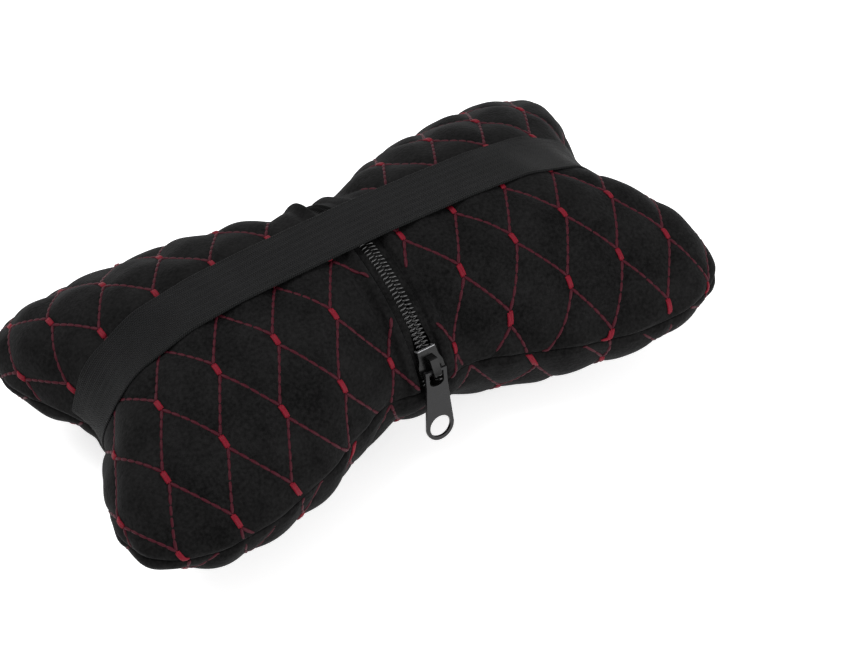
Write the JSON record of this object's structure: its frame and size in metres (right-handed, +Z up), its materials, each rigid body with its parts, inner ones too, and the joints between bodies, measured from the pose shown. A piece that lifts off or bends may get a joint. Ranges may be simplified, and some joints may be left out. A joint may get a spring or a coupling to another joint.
{
  "type": "neck pillow",
  "caption": "Bone-shaped quilted car neck pillow with a zip over its waist and an elastic strap along its back.",
  "frame": {"origin": "middle of the underside, on the surface that the pillow lies on", "axes": "+X along the pillow and its strap, +Y across it, away from the shut zip slider, +Z up, out of the back of the pillow"},
  "size_m": [0.267, 0.1554, 0.0863],
  "materials": {
    "velour": "black short-pile velour, quilted in diamonds with red thread",
    "filling_fibre": "soft white filling, hidden inside",
    "zip_tape": "black woven tape",
    "zip_coil": "black glossy nylon coil",
    "zip_metal": "black enamelled die casting",
    "strap_webbing": "black woven elastic with a fine rib"
  },
  "bodies": {
    "pillow": {"back_panel_left": "velour", "back_panel_right": "velour", "front_panel": "velour", "filling": "filling_fibre", "zip_tape_left": "zip_tape", "zip_tape_right": "zip_tape", "zip_coil_left": "zip_coil", "zip_coil_right": "zip_coil", "elastic_strap": "strap_webbing"},
    "slider": {"zip_slider": "zip_metal"},
    "puller": {"zip_puller": "zip_metal"}
  },
  "joints": [
    {"name": "zip_travel", "type": "hinge", "parent": "pillow", "child": "slider", "pos_m": [0, 0, 0.0272], "axis": [-1, 0, 0], "range_deg": [0, 133], "deforming": ["zip_coil_left", "zip_coil_right", "elastic_strap"]},
    {"name": "puller_swing", "type": "hinge", "parent": "slider", "child": "puller", "pos_m": [0, -0.05517, 0.04977], "axis": [-1, 0, 0], "range_deg": [0, 150]}
  ]
}
